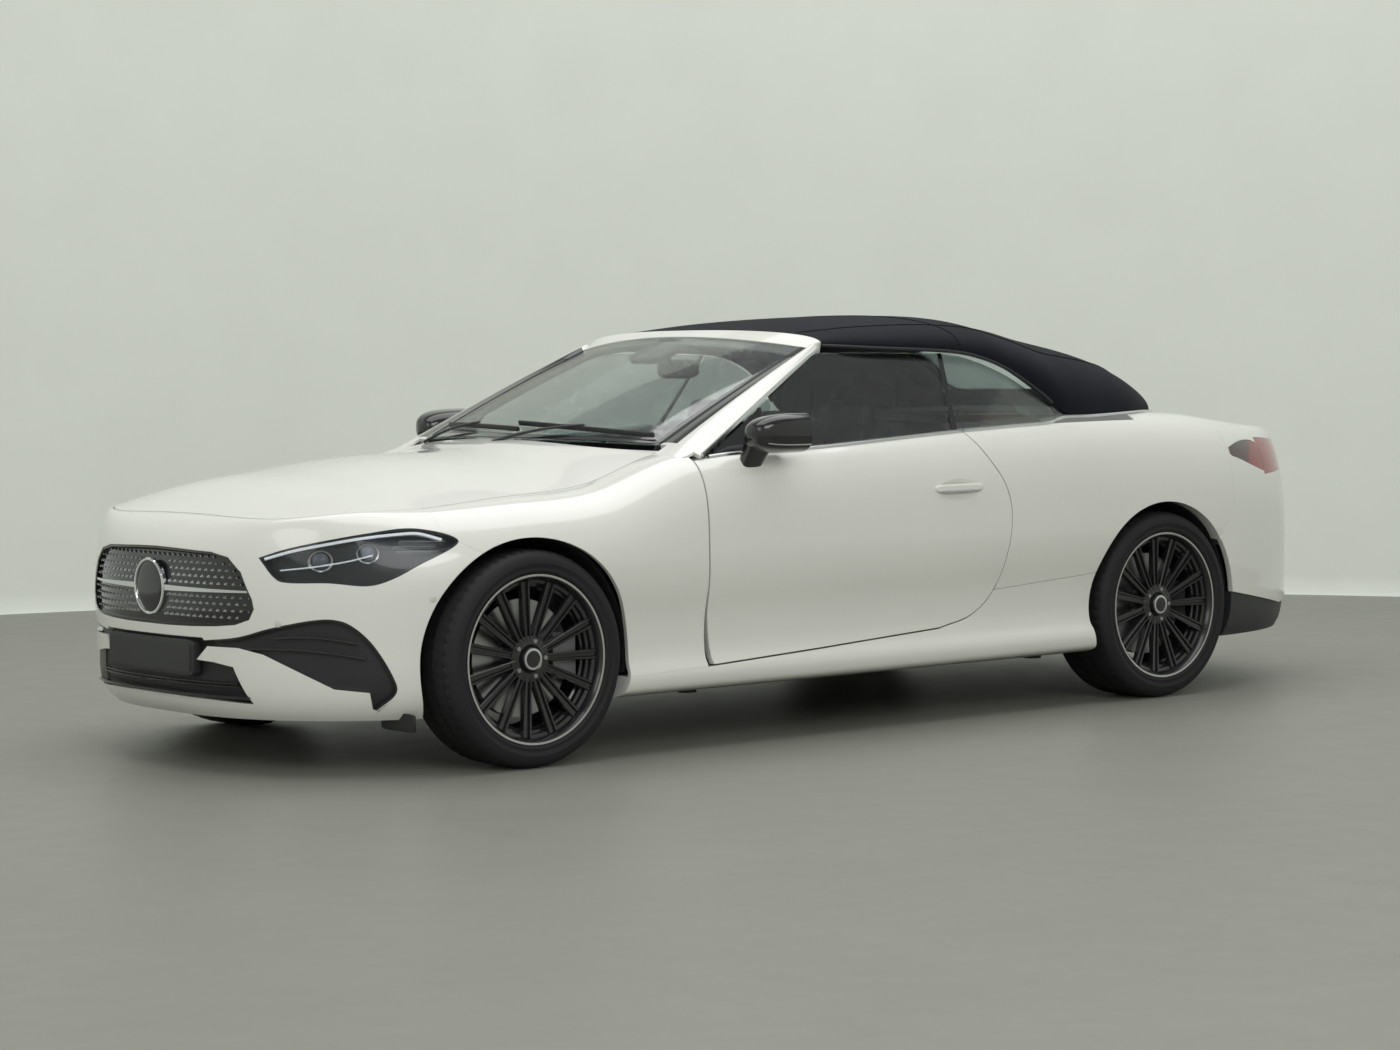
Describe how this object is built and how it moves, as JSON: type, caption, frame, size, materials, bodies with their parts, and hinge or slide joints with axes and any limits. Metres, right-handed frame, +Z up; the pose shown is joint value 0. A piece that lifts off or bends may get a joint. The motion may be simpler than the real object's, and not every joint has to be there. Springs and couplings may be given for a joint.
{
  "type": "convertible car",
  "caption": "Long convertible car with a closed cloth roof; doors, bonnet and boot lid open, the front wheels steer with the steering wheel and every wheel turns.",
  "frame": {"origin": "on the ground below the middle of the car's box", "axes": "+X towards the tail, +Y towards the car's right side, +Z up"},
  "size_m": [4.8502, 2.0438, 1.412],
  "materials": {
    "paint": "gloss",
    "dark_trim": "satin",
    "black_gloss": "gloss",
    "lamp": "clear",
    "tail_lamp": "gloss",
    "valance": "satin",
    "glass": "clear",
    "roof_cloth": "matt",
    "structure": "matt",
    "seat_leather": "satin",
    "metal": "as cast",
    "wheel": "gloss",
    "tyre": "matt"
  },
  "bodies": {
    "body": {"floor_pan": "structure", "front_structure": "structure", "sills": "paint", "front_fenders": "paint", "rear_quarters": "paint", "front_bumper": "paint", "grille": "black_gloss", "front_intakes": "dark_trim", "headlamps": "lamp", "plate_holder": "dark_trim", "rear_bumper": "paint", "rear_valance": "valance", "tail_lamps": "tail_lamp", "windscreen_frame": "paint", "windscreen": "glass", "cloth_roof": "roof_cloth", "rear_window": "glass", "quarter_glass": "glass", "deck_panel": "paint", "boot_hinges": "structure", "cowl": "dark_trim", "wheel_housings": "dark_trim", "dashboard": "dark_trim", "front_seats": "seat_leather", "rear_seat": "seat_leather", "engine": "metal", "front_subframe": "structure", "rear_subframe": "structure", "exhaust": "metal"},
    "door_left": {"door_left": "paint", "door_glass_left": "glass", "mirror_left": "black_gloss"},
    "door_right": {"door_right": "paint", "door_glass_right": "glass", "mirror_right": "black_gloss"},
    "bonnet": {"bonnet": "paint"},
    "boot_lid": {"boot_lid": "paint"},
    "steering_wheel": {"steering_wheel": "dark_trim"},
    "knuckle_left": {"knuckle_left": "metal"},
    "knuckle_right": {"knuckle_right": "metal"},
    "wheel_front_left": {"wheel_front_left": "wheel", "tyre_front_left": "tyre"},
    "wheel_front_right": {"wheel_front_right": "wheel", "tyre_front_right": "tyre"},
    "wheel_rear_left": {"wheel_rear_left": "wheel", "tyre_rear_left": "tyre"},
    "wheel_rear_right": {"wheel_rear_right": "wheel", "tyre_rear_right": "tyre"}
  },
  "joints": [
    {"name": "door_left_hinge", "type": "hinge", "parent": "body", "child": "door_left", "pos_m": [-0.817, -0.908, 0.7], "axis": [0, 0, -1], "range_deg": [0, 60]},
    {"name": "door_right_hinge", "type": "hinge", "parent": "body", "child": "door_right", "pos_m": [-0.817, 0.908, 0.7], "axis": [0, 0, 1], "range_deg": [0, 60]},
    {"name": "bonnet_hinge", "type": "hinge", "parent": "body", "child": "bonnet", "pos_m": [-0.925, 0, 0.935], "axis": [0, 1, 0], "range_deg": [0, 50]},
    {"name": "boot_lid_hinge", "type": "hinge", "parent": "body", "child": "boot_lid", "pos_m": [1.635, 0, 1.02268], "axis": [0, -1, 0], "range_deg": [0, 75]},
    {"name": "steer_left", "type": "hinge", "parent": "body", "child": "knuckle_left", "pos_m": [-1.585, -0.768, 0.34], "axis": [0, 0, 1], "range_deg": [-32, 32]},
    {"name": "steer_right", "type": "hinge", "parent": "body", "child": "knuckle_right", "pos_m": [-1.585, 0.768, 0.34], "axis": [0, 0, 1], "range_deg": [-32, 32]},
    {"name": "steering_wheel_turn", "type": "hinge", "parent": "body", "child": "steering_wheel", "pos_m": [-0.47, -0.37, 0.86], "axis": [0.9063, 0, 0.4226], "range_deg": [-416, 416]},
    {"name": "wheel_front_left_spin", "type": "hinge", "parent": "knuckle_left", "child": "wheel_front_left", "pos_m": [-1.585, -0.806, 0.34], "axis": [0, 1, 0], "continuous": true},
    {"name": "wheel_front_right_spin", "type": "hinge", "parent": "knuckle_right", "child": "wheel_front_right", "pos_m": [-1.585, 0.806, 0.34], "axis": [0, 1, 0], "continuous": true},
    {"name": "wheel_rear_left_spin", "type": "hinge", "parent": "body", "child": "wheel_rear_left", "pos_m": [1.28, -0.79, 0.34], "axis": [0, 1, 0], "continuous": true},
    {"name": "wheel_rear_right_spin", "type": "hinge", "parent": "body", "child": "wheel_rear_right", "pos_m": [1.28, 0.79, 0.34], "axis": [0, 1, 0], "continuous": true}
  ],
  "couplings": [
    {"joint": "steer_right", "follows": "steer_left", "ratio": 1},
    {"joint": "steering_wheel_turn", "follows": "steer_left", "ratio": 13}
  ]
}
